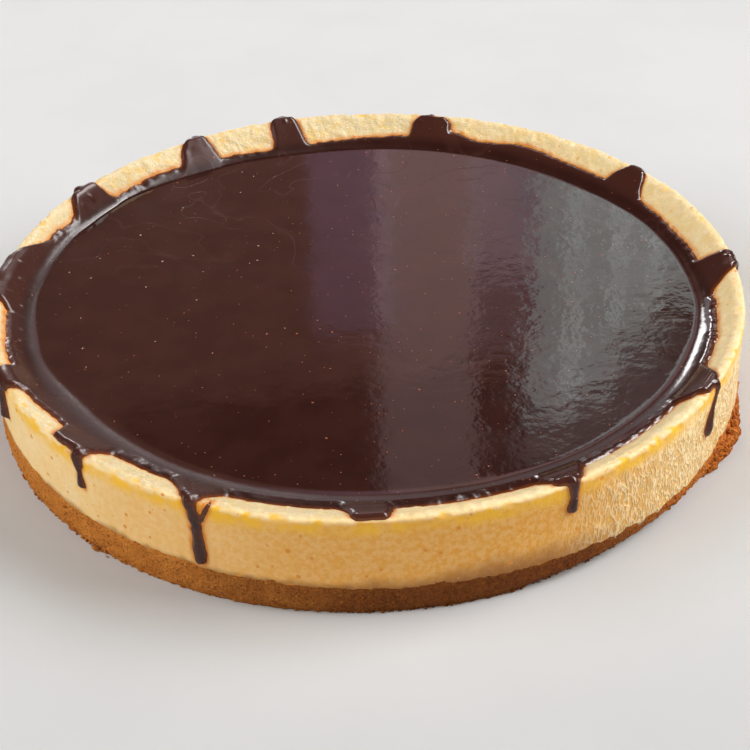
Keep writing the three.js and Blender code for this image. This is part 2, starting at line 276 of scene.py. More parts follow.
# sides: (mm along the sheet, left azimuth, right azimuth), from the pool to the tongue's end.
# drips: chains of (mm along the sheet, azimuth, radius in mm).
TONGUES = [
    Tongue([(104, -4.5, 11.5), (108.3, -3.4, 8.8), (112.5, -2, 7), (116, -0.5, 6.2), (118.5, 0.3, 5.7),
            (120.8, 1.4, 4.7)], 1.3, [[(121.6, 3, 2.1), (126, 3.1, 1.8), (130.5, 3.1, 2.3)]]),
    Tongue([(103, 26.5, 40.5), (108.4, 28.6, 39.3), (112.8, 30.6, 38.7), (116, 32, 37.8),
            (119.5, 33.2, 36.5)], 1.4, [[(121.5, 35, 2), (126, 35.1, 1.8), (133.5, 35.2, 2.4)]]),
    Tongue([(103, 70.5, 82), (107, 72.1, 80.9), (112, 72.8, 80.6), (115.5, 73.3, 80.2),
            (118.6, 74.6, 79.3)], 1.4, [[(121.5, 77.2, 2), (127, 77.3, 1.8), (136.5, 77.5, 2.6)]]),
    Tongue([(103, 99.6, 109), (107.5, 100.6, 107.6), (113, 101.4, 107.2), (117, 101.8, 106.9),
            (120, 102.2, 106.4)], 1.3, [[(121, 104.3, 2.6), (125, 104.4, 2.0), (129, 104.5, 2.4)]]),
    Tongue([(103, 117, 130.5), (107, 117.8, 128.3), (111, 118.4, 126.7), (115, 118.9, 125.2),
            (119.8, 119.1, 122.8)], 1.4, [[(121, 120.8, 2.4), (127, 120.9, 1.8), (134, 121, 2.4)]]),
    Tongue([(105, 139.5, 155), (111.5, 141.2, 153.4), (114, 142.2, 151.8), (117, 143.2, 150.3),
            (119.8, 143.9, 148.8)], 1.5, [[(120.5, 146.6, 2.6), (126, 146.8, 1.9), (131, 147, 2.5)]]),
    Tongue([(105, 156, 187), (114, 160, 184.4), (117, 164.8, 182.3), (119.5, 168.5, 181),
            (122, 171, 178.8)], 1.4, [[(121, 174.6, 3), (128, 174, 1.9), (137, 174.2, 2.5)]]),
    Tongue([(108, 198, 208.5), (115, 199.6, 207), (119, 200.4, 206.2), (122, 201.4, 205.3)],
           1.4, [[(121, 203.4, 2.6), (126, 203.5, 1.9), (131.5, 203.6, 2.3)]]),
    Tongue([(104, 215.5, 228.2), (110, 216.5, 227.4), (113, 217.8, 227.2), (116, 219.2, 227.3),
            (119.3, 220, 227.4)],
           1.1, [[(119, 226.2, 2.3), (122.3, 226.4, 2.0), (125.3, 226.5, 0.95), (129.2, 226.6, 1.55)]]),
    Tongue([(103, 236.5, 248.6), (107.5, 238.2, 247.8), (113, 241.6, 247.3), (119.2, 244.3, 246.9)],
           1.1, [[(118.5, 245.4, 2.3), (122, 245.9, 1.9), (127, 246.35, 1.6), (131, 246.4, 1.9),
                  (136, 246.5, 2.35), (139.2, 246.5, 1.75)],
                 [(117, 248.3, 0.5), (119.5, 248.35, 0.62), (124.6, 247.2, 0.6)]]),
    Tongue([(103, 263.6, 274.2), (106.5, 264.8, 273.3), (113, 266.6, 272.9), (119.6, 267.4, 272.3)],
           1.15, []),
    Tongue([(104, 293.5, 306), (108.5, 294.8, 303.8), (113, 294.9, 301.6), (119.3, 295, 299.2)],
           1.15, [[(118.5, 297.6, 2.2), (121, 297.6, 1.6), (124.3, 297.7, 1.25), (128, 297.4, 1.75)]]),
    Tongue([(106, 322.5, 338), (112, 324.4, 335.5), (115.5, 324.6, 332.8), (119.8, 325.8, 330)],
           1.2, [[(119.5, 328.8, 1.5), (122.5, 328.5, 0.95), (126, 327.6, 0.95), (129.5, 326.7, 1.6),
                  (132.3, 326.4, 2.0), (134.4, 326.4, 1.4)]]),
]
print("tongues:", len(TONGUES), "drips:", sum(len(t.drips) for t in TONGUES))

# %% Distance to a tongue or a drip
WEDGE_CORNER = 1.7 * MM
WEDGE_SLANT = 0.93


def across(azimuth, degrees):
    """How far round the tin a point lies from an azimuth in degrees."""
    turn = (azimuth - np.radians(degrees) + math.pi) % (2 * math.pi) - math.pi
    return turn * TIN_RADIUS


def wedge_distance(tongue, along, azimuth):
    """Signed distance to a tongue that is bounded left and right at each distance along the sheet."""
    stops, left, right = np.array(tongue.sides, float).T
    here = np.clip(along / MM, stops[0], stops[-1])
    past_left = -across(azimuth, np.interp(here, stops, left))
    past_right = across(azimuth, np.interp(here, stops, right))
    side = np.maximum(past_left, past_right) * WEDGE_SLANT + WEDGE_CORNER
    front = along - stops[-1] * MM + WEDGE_CORNER
    outside = np.hypot(np.maximum(side, 0), np.maximum(front, 0))
    return outside + np.minimum(np.maximum(side, front), 0) - WEDGE_CORNER


def stroke_distance(x, y, start, end):
    """Distance to a round-ended stroke that tapers from one (x, y, radius) to the next."""
    run = np.array(end) - np.array(start)
    share = np.clip(((x - start[0]) * run[0] + (y - start[1]) * run[1]) / (run[0] ** 2 + run[1] ** 2), 0, 1)
    gap = np.hypot(x - start[0] - share * run[0], y - start[1] - share * run[1])
    return gap - (start[2] + share * run[2])


def drip_distance(drip, along, azimuth):
    """Signed distance to a chain of strokes, and how wide the nearest one is."""
    x = across(azimuth, drip[0][1])
    stops = [(math.radians(turn - drip[0][1]) * TIN_RADIUS, y * MM, r * MM) for y, turn, r in drip]
    distance = np.min([stroke_distance(x, along, a, b) for a, b in zip(stops, stops[1:])], axis=0)
    width = np.interp(along, [y for _, y, _ in stops], [r for _, _, r in stops])
    return distance, width


first_drip = drip_distance(TONGUES[0].drips[0], np.array([0.126]), np.array([0.0]))
print("azimuth 0 lies", round(float(first_drip[0][0]) / MM, 1), "mm from the first drip")

# %% Melt them into one outline
coat_share = round_the_cake([
    (20, 0.921), (46, 0.923), (59, 0.934), (67, 0.92), (72, 0.937), (82, 0.915), (92, 0.908), (101, 0.9),
    (108, 0.906), (117, 0.917), (133, 0.94), (150, 0.95), (165, 0.957), (205, 0.964), (217, 0.936),
    (232, 0.902), (262, 0.895), (285, 0.898), (302, 0.915), (340, 0.937)])
coat_lip = round_the_cake([(15, 1.0), (200, 1.0), (285, 1.1), (298, 1.45), (335, 1.45), (350, 1.2)])
lip_width = round_the_cake([(15, 1.7), (285, 1.6), (298, 1.1), (335, 1.1), (350, 1.4)])
edge_wander = round_the_cake([(15, 1.0), (249, 1.0), (256, 0.4), (334, 0.35), (345, 1.0)])
EDGE_ROUNDING = 1.7 * MM
MELT = 0.5 * MM
THICKNESS_MELT = 2.2 * MM
OUTLINE_LIMIT, THICKNESS_LIMIT = 60, 12
NEAR_TONGUE = 45 * MM
TONGUE_END = 4


def nearness(distance, melt, limit):
    """A weight that falls fast with distance. Shapes whose weights are added melt together."""
    return np.exp(-np.clip(distance / melt, -limit, limit))


def poured(along, azimuth):
    """Signed distance to the ganache's edge, below 0 inside, with the thickness and rounding it has there."""
    coat_gap = along - coat_share(azimuth) * TIN_RADIUS
    union = nearness(coat_gap, MELT, OUTLINE_LIMIT)
    total = nearness(coat_gap, THICKNESS_MELT, THICKNESS_LIMIT)
    coat = coat_lip(azimuth) * MM
    thickness, rounding = total * coat, total * coat * lip_width(azimuth)

    def melt_in(near, distance, thick, width):
        union[near] += nearness(distance, MELT, OUTLINE_LIMIT)
        share = nearness(distance, THICKNESS_MELT, THICKNESS_LIMIT)
        total[near] += share
        thickness[near] += share * thick
        rounding[near] += share * width

    for tongue in TONGUES:
        start, end = tongue.sides[0], tongue.sides[-1]
        near = np.abs(across(azimuth, start[1] + 6)) < NEAR_TONGUE
        climb = smooth_step(along[near], start[0] * MM, (end[0] - TONGUE_END) * MM)
        thick = coat[near] + (tongue.thickness * MM - coat[near]) * climb
        melt_in(near, wedge_distance(tongue, along[near], azimuth[near]), thick, EDGE_ROUNDING)
        for drip in tongue.drips:
            distance, width = drip_distance(drip, along[near], azimuth[near])
            melt_in(near, distance, 0.85 * width, 0.95 * width)
    return -MELT * np.log(union), thickness / total, rounding / total


def ragged(along, azimuth):
    """How far noise shifts the ganache's edge, so that no tongue is a perfect wedge."""
    flat = place(along, azimuth, 0 * along)
    shift = 0.34 * bumps(flat, 4.5 * MM) + 0.30 * bumps(flat, 1.8 * MM) + 0.12 * bumps(flat, MM)
    return MM * shift * edge_wander(azimuth)


def gap_to_ganache(along, azimuth):
    return poured(along, azimuth)[0] + ragged(along, azimuth)


outside = gap_to_ganache(np.array([110 * MM]), np.array([math.radians(285)]))
print("at azimuth 285, a point 110 mm along lies", round(float(outside[0]) / MM, 1), "mm outside the ganache")

# %% [markdown]
# ## The baked filling
# The filling is one pale body: a hollow, a bank, a rim as rough as sponge, and a side that took the
# creases of the paper in the tin. It could be a cylinder with a bump texture, but the rim's outline and
# the raked creases at the right show real relief, so the sheet is fine there and is moved in the mesh.

# %% Lay the filling
FOOT = WALL_START + 26 * MM
HOLLOW_RINGS = even_steps(20 * MM, 98 * MM, 13 * MM)
BANK_RINGS = even_steps(100 * MM, TURN, 0.72 * MM)
CORNER_RINGS = even_steps(TURN + 0.3 * MM, WALL_START, 0.45 * MM)
WALL_RINGS = even_steps(WALL_START + 0.7 * MM, FOOT, 0.9 * MM)
UNDER_RINGS = [FOOT + 2 * MM, FOOT + 60 * MM, FOOT + 110 * MM]
filling = sheet_of_rings("baked_filling", [
    (COARSE, HOLLOW_RINGS),
    (FINE, BANK_RINGS + CORNER_RINGS + WALL_RINGS),
    (COARSE, UNDER_RINGS),
])
close_outer_ring(filling, UNDER_RINGS[-1])
bpy.ops.object.mode_set(mode="OBJECT")
print(filling.name, "starts as a flat sheet of", len(filling.data.vertices), "points")


# %% Bend it over the cake
def biscuit_top(radius, azimuth):
    wall = biscuit_height(azimuth) * MM
    return 9 * MM + (wall - 9 * MM) * (radius / TIN_RADIUS) ** 2


def creased(azimuth):
    """1 where the tin's paper was creased, right of the front."""
    degrees = np.degrees(azimuth) % 360
    return smooth_step(degrees, 294, 306) * (1 - smooth_step(degrees, 338, 352))


flat = read_points(filling)
azimuth = np.arctan2(flat[:, 1], flat[:, 0])
sheet_radius = np.hypot(flat[:, 0], flat[:, 1])
wall_share = np.clip((sheet_radius - WALL_START) / (FOOT - WALL_START), 0, 1)
_, wall_head = over_the_cake(np.full_like(azimuth, WALL_START), azimuth)
wall_length = wall_head - (biscuit_height(azimuth) - 1.2) * MM
along = np.where(sheet_radius > WALL_START, WALL_START + wall_share * wall_length, sheet_radius)
radius, height = over_the_cake(along, azimuth)
outward, upward = facing(along, azimuth)
print("the side of the filling is", round(float(wall_length.min()) / MM, 1), "mm high where it is lowest")

# %% Raise its relief
bare = smooth_step(gap_to_ganache(along, azimuth), -0.6 * MM, 1.4 * MM)
spot = place(radius, azimuth, height)
on_top = 1 - smooth_step(along, TURN - 0.5 * MM, WALL_START + 1.5 * MM)
sponge = 0.24 * MM * bumps(spot, 4.2 * MM) + 0.30 * MM * layered_bumps(spot, 1.7 * MM)
crumbling = smooth_step(along, TURN - 2.5 * MM, TURN)
crumbling *= 1 - smooth_step(along, WALL_START, WALL_START + 1.2 * MM)
chips = -0.55 * MM * np.maximum(0, bumps(spot, 2.6 * MM) - 0.15)
unrolled = np.column_stack([azimuth * TIN_RADIUS, height, 0 * height])
sway = np.column_stack([bumps(unrolled, 3.5 * MM), bumps(unrolled + 1, 5 * MM), 0 * height])
warped = unrolled + 1.2 * MM * sway
folds = bumps(warped, 2.6 * MM, (1, 1.8, 1))
crease = creased(azimuth) * 0.24 * MM * folds
slow_waves = 0.18 * MM * bumps(spot, 9 * MM, (1, 1, 2)) + 0.05 * MM * layered_bumps(spot, 1.4 * MM)
relief = bare * (on_top * sponge + crumbling * chips + (1 - on_top) * (slow_waves + crease))
radius = radius + relief * outward
height = height + relief * upward

under = sheet_radius > FOOT + 1 * MM
radius = np.where(under, TIN_RADIUS - 2 * MM - (sheet_radius - FOOT - 2 * MM), radius)
height = np.where(under, biscuit_top(radius, azimuth) + 0.05 * MM, height)
move_points(filling, place(radius, azimuth, height))
bpy.ops.object.mode_set(mode="EDIT")
face_outwards(filling)
print(filling.name, "faces:", len(filling.data.polygons))

# %% [markdown]
# Some of the filling's colour follows its shape: the band just under the rim's edge is deeper yellow, the
# foot takes colour from the biscuit, the front is a deeper gold, partly browned and partly painted shade
# and warm bounce light, and ganache stains the crumb that it touches.
# A paint layer would need an image, so these are kept as attributes: numbers on each point, read later by
# the material.

# %% Mark the filling's colour zones
def mark(piece, name, values):
    layer = piece.data.attributes.new(name, "FLOAT", "POINT")
    layer.data.foreach_set("value", np.asarray(values, np.float32))


def on_sheet(points):
    """Distance along the sheet, and azimuth, of points that already lie on the cake's top or side."""
    turn = np.arctan2(points[:, 1], points[:, 0])
    reach = np.hypot(points[:, 0], points[:, 1])
    _, corner_height = over_the_cake(np.full_like(turn, WALL_START), turn)
    return np.where(reach > TURN, WALL_START + np.maximum(corner_height - points[:, 2], 0), reach), turn


spot = read_points(filling)
azimuth = np.arctan2(spot[:, 1], spot[:, 0])
radius = np.hypot(spot[:, 0], spot[:, 1])
_, rim_edge = over_the_cake(np.full_like(azimuth, WALL_START), azimuth)
below_edge = (rim_edge - spot[:, 2]) / MM
on_side = smooth_step(radius, TIN_RADIUS - 1.3 * MM, TIN_RADIUS - 0.5 * MM)
wobble = 0.9 * bumps(spot, 6 * MM) + 0.5 * bumps(spot, 2 * MM)
torn_edge = 1.1 * bumps(spot, 2.6 * MM) + 0.7 * bumps(spot, 1.3 * MM)
band = smooth_step(below_edge + torn_edge, -0.6, 0.3) * (1 - smooth_step(below_edge + wobble, 1.2, 5.2))
band *= smooth_step(radius, TIN_RADIUS - 2.6 * MM, TIN_RADIUS - 1.8 * MM)
above_biscuit = spot[:, 2] / MM - biscuit_height(azimuth)
# Deeper gold towards the front: partly browned in the oven, partly painted shade and warm bounce light.
browned_and_shaded_front = round_the_cake([
    (20, 0.15), (90, 0.3), (150, 0.25), (205, 0.12), (222, 0.22), (240, 0.6), (265, 0.92), (285, 1.0),
    (300, 1.0), (308, 0.85), (314, 0.5), (322, 0.2)])
stain_height = round_the_cake([(20, 2), (240, 2), (262, 3), (275, 6), (285, 9), (300, 9), (308, 5), (320, 2)])
stain_depth = round_the_cake([
    (20, 0.8), (200, 0.7), (285, 1.0), (304, 1.0), (313, 0.5), (322, 0.3), (345, 0.5)])
foot = 1 - smooth_step((above_biscuit + 1.2 * wobble + 0.5) / stain_height(azimuth), 0, 1)
foot *= on_side * stain_depth(azimuth)
mark(filling, "edge_band", band)
mark(filling, "biscuit_stain", foot)
mark(filling, "browning_and_shade", on_side * browned_and_shaded_front(azimuth) * smooth_step(below_edge, -1.0, 1.0))
mark(filling, "creases", creased(azimuth) * on_side * smooth_step(below_edge, 1.0, 7.0))
from_ganache = gap_to_ganache(*on_sheet(spot))
mark(filling, "ganache_fringe", np.exp(-np.clip(from_ganache - 0.45 * MM, 0, 9 * MM) / (0.4 * MM)))
# Less torn crumb at the right and front leaves the rim paler there: partly the real torn rim, partly painted
# light from the right.
torn_rim_and_side_light = round_the_cake([(5, 0.45), (58, 0.5), (82, 1.0), (170, 1.0), (262, 0.9), (275, 0.45), (345, 0.4)])
open_crumb = (1 - on_side) * smooth_step(from_ganache, -0.5 * MM, 0.5 * MM) * torn_rim_and_side_light(azimuth)
mark(filling, "open_crumb", open_crumb)
print("deepest band value:", round(float(band.max()), 2))

# %% [markdown]
# ## The biscuit layer
# Crushed biscuit and butter are pressed into the tin, so the layer is flush with the side but far
# rougher. It is laid like the filling: down the wall, out over a broken ledge at the right, and in again
# at the foot, which is worn back. Its top edge dips under the filling, so the seam between them comes
# out ragged by itself and needs no drawn line.

# %% Lay the biscuit layer
ledge_reach = round_the_cake([(200, 0), (328.5, 0), (331, 0.6), (334, 1.8), (337, 2.4), (339.5, 1.7),
                              (342, 0.6), (344.5, 0), (355, 0)])
worn_foot = round_the_cake([
    (20, 0.8), (200, 0.8), (285, 1.0), (302, 3.4), (314, 4.3), (323, 2.6), (330, 0.6)])
WORN_HEIGHT = 3.6
LEDGE_TOP = 5.0 * MM
BISCUIT_FOOT = TIN_RADIUS + 14 * MM
biscuit = sheet_of_rings("biscuit_layer", [
    (COARSE, even_steps(20 * MM, 112 * MM, 23 * MM)),
    (FINE, even_steps(TIN_RADIUS - 2 * MM, BISCUIT_FOOT, 0.62 * MM)),
    (COARSE, [BISCUIT_FOOT + 4 * MM, BISCUIT_FOOT + 60 * MM, BISCUIT_FOOT + 105 * MM]),
])
close_outer_ring(biscuit, BISCUIT_FOOT + 105 * MM)
bpy.ops.object.mode_set(mode="OBJECT")
print(biscuit.name, "starts as a flat sheet of", len(biscuit.data.vertices), "points")

# %% Take it down the wall and over the ledge
flat = read_points(biscuit)
azimuth = np.arctan2(flat[:, 1], flat[:, 0])
sheet_radius = np.hypot(flat[:, 0], flat[:, 1])
seam = biscuit_height(azimuth) * MM
reach = ledge_reach(azimuth) * MM * (1 + 0.35 * bumps(place(TIN_RADIUS, azimuth, 0 * azimuth), 3.2 * MM))
ledge_top = LEDGE_TOP + 1.1 * MM * bumps(place(TIN_RADIUS, azimuth, 0 * azimuth), 4 * MM)
ledge_top = np.minimum(ledge_top, seam - 0.2 * MM)
wall_top = seam + 1.0 * MM


def ledge_path(share):
    """Radius beyond the side, and height, on the way down the wall, out over the ledge and down again."""
    travelled = np.clip(share, 0, 1) * (wall_top + reach)
    level = wall_top - ledge_top
    out = np.clip(travelled - level, 0, reach)
    return out, wall_top - np.clip(travelled, 0, level) - np.maximum(travelled - level - reach, 0)


share = (sheet_radius - TIN_RADIUS) / (BISCUIT_FOOT - TIN_RADIUS)
taps = [ledge_path(share + shift) for shift in (-0.06, -0.03, 0, 0.03, 0.06)]
at_end = smooth_step(share, 0.9, 1.0)
out = sum(o for o, _ in taps) / len(taps) * (1 - at_end) + ledge_path(share)[0] * at_end
height = sum(h for _, h in taps) / len(taps) * (1 - at_end) + ledge_path(share)[1] * at_end
print("the ledge stands out by", round(float(out.max()) / MM, 1), "mm")

# %% Roughen it
dip = 0.28 * MM * (1 - 2 * smooth_step(height, seam - 0.7 * MM, seam + 0.5 * MM))
wear = worn_foot(azimuth) * MM * np.clip(1 - height / (WORN_HEIGHT * MM), 0, 1) ** 1.6
radius = TIN_RADIUS + side_bulge(azimuth) + out + dip - wear
spot = place(radius, azimuth, height)
on_ledge = smooth_step(reach, 0.2 * MM, 1.5 * MM)
grit = 0.20 * MM * layered_bumps(spot, 1.5 * MM) + 0.14 * MM * bumps(spot, 3.5 * MM)
crags = on_ledge * (0.6 * MM * bumps(spot, 2.8 * MM) + 0.35 * MM * bumps(spot, 1.5 * MM))
radius = radius + grit + crags
height = height + on_ledge * 0.6 * MM * bumps(spot + 1, 2.2 * MM) * smooth_step(height, 0.5 * MM, 3 * MM)
inside = sheet_radius < TIN_RADIUS - 0.2 * MM
radius = np.where(inside, np.minimum(sheet_radius, TIN_RADIUS - 1.5 * MM), radius)
height = np.where(inside, biscuit_top(radius, azimuth) - 0.3 * MM, height)
under = sheet_radius > BISCUIT_FOOT + 0.1 * MM
radius = np.where(under, TIN_RADIUS - 6 * MM - (sheet_radius - BISCUIT_FOOT - 4 * MM), radius)
height = np.where(under, 0, np.maximum(height, 0))
move_points(biscuit, place(radius, azimuth, height))
bpy.ops.object.mode_set(mode="EDIT")
face_outwards(biscuit)
print(biscuit.name, "faces:", len(biscuit.data.polygons))

# %% [markdown]
# ## Loose crumbs
# Crumbs lie along the foot and on the ledge, and grains stand out of the biscuit. A handful of knobbly
# lumps is modelled once: a cube, subdivided and rounded, with its points shaken. Then each is copied
# hundreds of times, turned and sized by a seeded generator. A particle system would do the same, but
# copies can be given to one joined mesh.

# %% Model six crumbs
def model_crumb(number):
    bpy.ops.object.select_all(action="DESELECT")
    bpy.ops.mesh.primitive_cube_add(size=2)
    crumb = bpy.context.object
    bpy.ops.object.mode_set(mode="EDIT")
    bpy.ops.mesh.select_all(action="SELECT")
    bpy.ops.mesh.subdivide(number_cuts=1)
    bpy.ops.transform.tosphere(value=0.75)
    bpy.ops.transform.vertex_random(offset=0.28, seed=number)
    bpy.ops.object.mode_set(mode="OBJECT")
    bpy.ops.object.transform_apply()
    return crumb


crumb_kinds = [model_crumb(number) for number in range(6)]
print("faces on one crumb:", len(crumb_kinds[0].data.polygons))

# %% Scatter the crumbs
chance = np.random.default_rng(12)
SMALLEST = 0.35


def scatter(name, spots):
    """Copies a crumb to each (x, y, z, size) and joins them into one piece."""
    bpy.ops.object.select_all(action="DESELECT")
    copies = []
    for number, (x, y, z, size) in enumerate(spots):
        copy = crumb_kinds[number % len(crumb_kinds)].copy()
        copy.data = copy.data.copy()
        copy.location = (x, y, z)
        copy.rotation_euler = chance.uniform(0, 2 * math.pi, 3)
        copy.scale = size / 2 * chance.uniform(0.7, 1.15, 3)
        bpy.context.scene.collection.objects.link(copy)
        copy.select_set(True)
        copies.append(copy)
    bpy.context.view_layer.objects.active = copies[0]
    bpy.ops.object.join()
    piece = bpy.context.object
    piece.name = piece.data.name = name
    bpy.ops.object.transform_apply(location=True, rotation=True, scale=True)
    points = read_points(piece).reshape(len(spots), -1, 3)
    points[:, :, 2] -= np.minimum(points[:, :, 2].min(axis=1), 0)[:, None]
    move_points(piece, points.reshape(-1, 3))
    return piece


def crumb_spot(radius, turn, height, size):
    return radius * math.cos(turn), radius * math.sin(turn), height, size


def around_foot(count, low, high, out_low, out_high, biggest):
    """Spots on the ground between two azimuths, at so many mm beyond the side."""
    spots = []
    for _ in range(count):
        turn = math.radians(chance.uniform(low, high))
        worn = float(worn_foot(turn)) * 0.8
        reach_here = float(ledge_reach(turn))
        size = (SMALLEST + (biggest - SMALLEST) * chance.random() ** 3) * MM
        beyond = TIN_RADIUS + (reach_here - worn + chance.uniform(out_low, out_high)) * MM
        spots.append(crumb_spot(beyond, turn, 0.35 * size, size))
    return spots


# Each line says how many, between which azimuths, how far out in mm, and the biggest in mm.
loose = around_foot(420, 0, 360, -0.6, 0.7, 1.0)
loose += around_foot(240, 205, 290, -0.4, 0.6, 1.1)
loose += around_foot(40, 298, 325, -0.2, 1.2, 1.2)
loose += around_foot(70, 328, 347, -0.5, 1.0, 1.5)
loose += around_foot(12, 226, 231, 0.0, 1.4, 1.5)
loose_crumbs = scatter("loose_crumbs", loose)
print("loose crumbs:", len(loose))

# %% Set grains into the biscuit
grains = []
for _ in range(360):
    turn = math.radians(329 + 17 * chance.beta(1.6, 1.4))
    reach_here = float(ledge_reach(turn))
    level = chance.uniform(0.1, 1)
    out_here = reach_here * (1 if level < 0.85 else chance.random())
    beyond = TIN_RADIUS + (out_here - 0.1) * MM
    size = (0.7 + 2.1 * chance.random() ** 2.5) * MM
    grains.append(crumb_spot(beyond, turn, max(0.3 * size, level * LEDGE_TOP), size))
for _ in range(1500):
    turn = math.radians(chance.uniform(0, 360))
    level = chance.random() ** 1.6 * (float(biscuit_height(turn)) - 0.6)
    worn = float(worn_foot(turn)) * max(0.0, 1 - level / WORN_HEIGHT) ** 1.6
    beyond = TIN_RADIUS - (worn + 0.05) * MM + float(side_bulge(turn))
    size = (0.5 + 0.7 * chance.random() ** 2) * MM
    grains.append(crumb_spot(beyond, turn, max(0.3 * size, level * MM), size))
biscuit_grains = scatter("biscuit_grains", grains)

# Darker towards the front: partly browned biscuit, partly painted shade.
browned_and_shaded_foot = round_the_cake([
    (20, 0.3), (90, 0.4), (150, 0.35), (205, 0.05), (222, 0.08), (238, 0.15), (255, 0.6), (272, 0.95),
    (298, 1.0), (312, 0.8), (326, 0.3), (340, 0.1)])
rusty_ledge = round_the_cake([(20, 0), (230, 0), (305, 0.1), (322, 0.7), (328, 1), (343, 1), (348, 0.2)])
for piece in (biscuit, biscuit_grains, loose_crumbs):
    spot = read_points(piece)
    around = np.arctan2(spot[:, 1], spot[:, 0])
    mark(piece, "browning_and_shade", browned_and_shaded_foot(around))
    mark(piece, "rusty", rusty_ledge(around))
for kind in crumb_kinds:
    bpy.data.objects.remove(kind)
print("grains:", len(grains))

# %% [markdown]
# ## The ganache
# The flat sheet is cut to the ganache's outline, extruded down to give it two sides, and laid on the cake.
# Its upper side swells from the edge like any liquid and levels out in the pool. Just past the edge it
# dives under the filling's skin, so the visible edge is where two smooth surfaces cross, and not a
# staircase of faces.

# %% Cut the ganache's sheet
SKIRT = 0.55 * MM
SHEET_DEPTH = 1 * MM
POOL_RINGS = even_steps(12 * MM, 96 * MM, 12 * MM)
SHORE_RINGS = even_steps(98 * MM, 103 * MM, 1 * MM)
TONGUE_RINGS = even_steps(103.5 * MM, WALL_START + 26 * MM, 0.5 * MM)
ganache = sheet_of_rings("poured_ganache", [
    (COARSE, POOL_RINGS[:5]),
    (MIDDLING, POOL_RINGS[5:]),
    (FINE, SHORE_RINGS + TONGUE_RINGS),
])
bpy.ops.object.mode_set(mode="OBJECT")

flat = read_points(ganache)
azimuth = np.arctan2(flat[:, 1], flat[:, 0])
along = np.hypot(flat[:, 0], flat[:, 1])
kept = gap_to_ganache(along, azimuth) < SKIRT
bpy.ops.object.mode_set(mode="EDIT")
bpy.ops.mesh.select_mode(type="VERT")
bpy.ops.mesh.select_all(action="DESELECT")
bpy.ops.object.mode_set(mode="OBJECT")
ganache.data.vertices.foreach_set("select", ~kept)
bpy.ops.object.mode_set(mode="EDIT")
bpy.ops.mesh.delete(type="VERT")
bpy.ops.mesh.select_all(action="SELECT")
bpy.ops.mesh.normals_make_consistent(inside=False)
bpy.ops.mesh.extrude_region_move(TRANSFORM_OT_translate={"value": (0, 0, -SHEET_DEPTH)})
bpy.ops.object.mode_set(mode="OBJECT")
print("ganache outline kept:", int(kept.sum()), "points")

# %% Bubbles in the skin
# Each row: mm along the sheet, azimuth, radius in mm. Half of them stand at the left.
BUBBLES = [
    (114.7, 174.0, 0.9), (112.1, 180.4, 0.8), (111.1, 187.4, 0.75), (111.5, 191.0, 0.8), (112.4, 195.0, 0.7),
    (110.5, 177.4, 0.5), (116.2, 170.0, 0.8), (116.0, 178.6, 0.6), (115.6, 146.5, 1.0), (115.0, 149.0, 0.8),
    (117.0, 104.2, 0.8), (115.0, 78.8, 0.8), (112.0, 36.0, 0.5), (107.0, 54.4, 0.6), (106.8, 62.5, 0.5),
    (118.2, 3.4, 0.8), (116.5, 4.6, 0.6)]
BUBBLE_RISE = 0.55
print("bubbles:", len(BUBBLES))

# %% Swell the ganache
flat = read_points(ganache)
azimuth = np.arctan2(flat[:, 1], flat[:, 0])
along = np.hypot(flat[:, 0], flat[:, 1])
upper = flat[:, 2] > -SHEET_DEPTH / 2
gap, thickness, rounding = poured(along, azimuth)
gap += ragged(along, azimuth)
swell = thickness * np.sin(math.pi / 2 * np.clip(-gap / rounding, 0, 1)) - 0.9 * np.maximum(gap, 0)
base_radius, base_height = over_the_cake(along, azimuth)
outward, upward = facing(along, azimuth)
spot = place(base_radius, azimuth, base_height)
past_bank = smooth_step(along, 111 * MM, 116 * MM)
lumpy = (0.06 + 0.12 * past_bank) * bumps(spot, 6 * MM) + (0.015 + 0.03 * past_bank) * bumps(spot, 2 * MM)
lumpy *= MM * smooth_step(-gap, 0, 2 * MM) * edge_wander(azimuth)
for bubble_along, bubble_azimuth, size in BUBBLES:
    away = np.hypot(across(azimuth, bubble_azimuth), along - bubble_along * MM) / (size * MM)
    lumpy += BUBBLE_RISE * size * MM * np.clip(1 - away**2, 0, 1)
lift = np.where(upper, swell + lumpy, np.minimum(swell, 0) - 0.8 * MM)
radius = base_radius + lift * outward
height = base_height + lift * upward
print("the ganache stands up to", round(float(swell.max()) / MM, 1), "mm off the cake")

# %% Level the pool
shore_fillet = round_the_cake([
    (0, 1.8), (35, 1.1), (130, 1.2), (165, 2.8), (190, 4.0), (215, 4.4), (250, 4.2), (310, 4.5), (335, 3.6)])
dull_shore = round_the_cake([(60, 0.5), (110, 1.0), (255, 1.0), (290, 0.3), (345, 0.3)])
pool_ripple = 0.02 * MM * bumps(spot, 14 * MM)
pool = rounded_max(height, POOL_HEIGHT + pool_ripple, shore_fillet(azimuth) * MM)
unfilleted = np.maximum(height, POOL_HEIGHT + pool_ripple)
pool = unfilleted + (pool - unfilleted) * smooth_step(-gap, 0.2 * MM, 3.2 * MM)
height = np.where(upper & (along < TURN), pool, height)
height = np.maximum(height, np.where(upper, 0, DISH_FLOOR - 0.5 * MM) * (along < TURN))
move_points(ganache, place(radius, azimuth, height))
mark(ganache, "thin_edge", smooth_step(gap, -0.75 * MM, 0))
down_the_side = smooth_step(POOL_HEIGHT - height, 0.5 * MM, 1.5 * MM)
on_shore = smooth_step(height - POOL_HEIGHT, 0.03 * MM, 0.4 * MM) * dull_shore(azimuth)
mark(ganache, "dull", on_shore + down_the_side)
bpy.ops.object.mode_set(mode="EDIT")
face_outwards(ganache)
spot = read_points(ganache)
mark(ganache, "clinging", smooth_step(spot[:, 2] - POOL_HEIGHT, 0.8 * MM, 3.5 * MM)
     + smooth_step(POOL_HEIGHT - spot[:, 2], 0.5 * MM, 1.5 * MM))
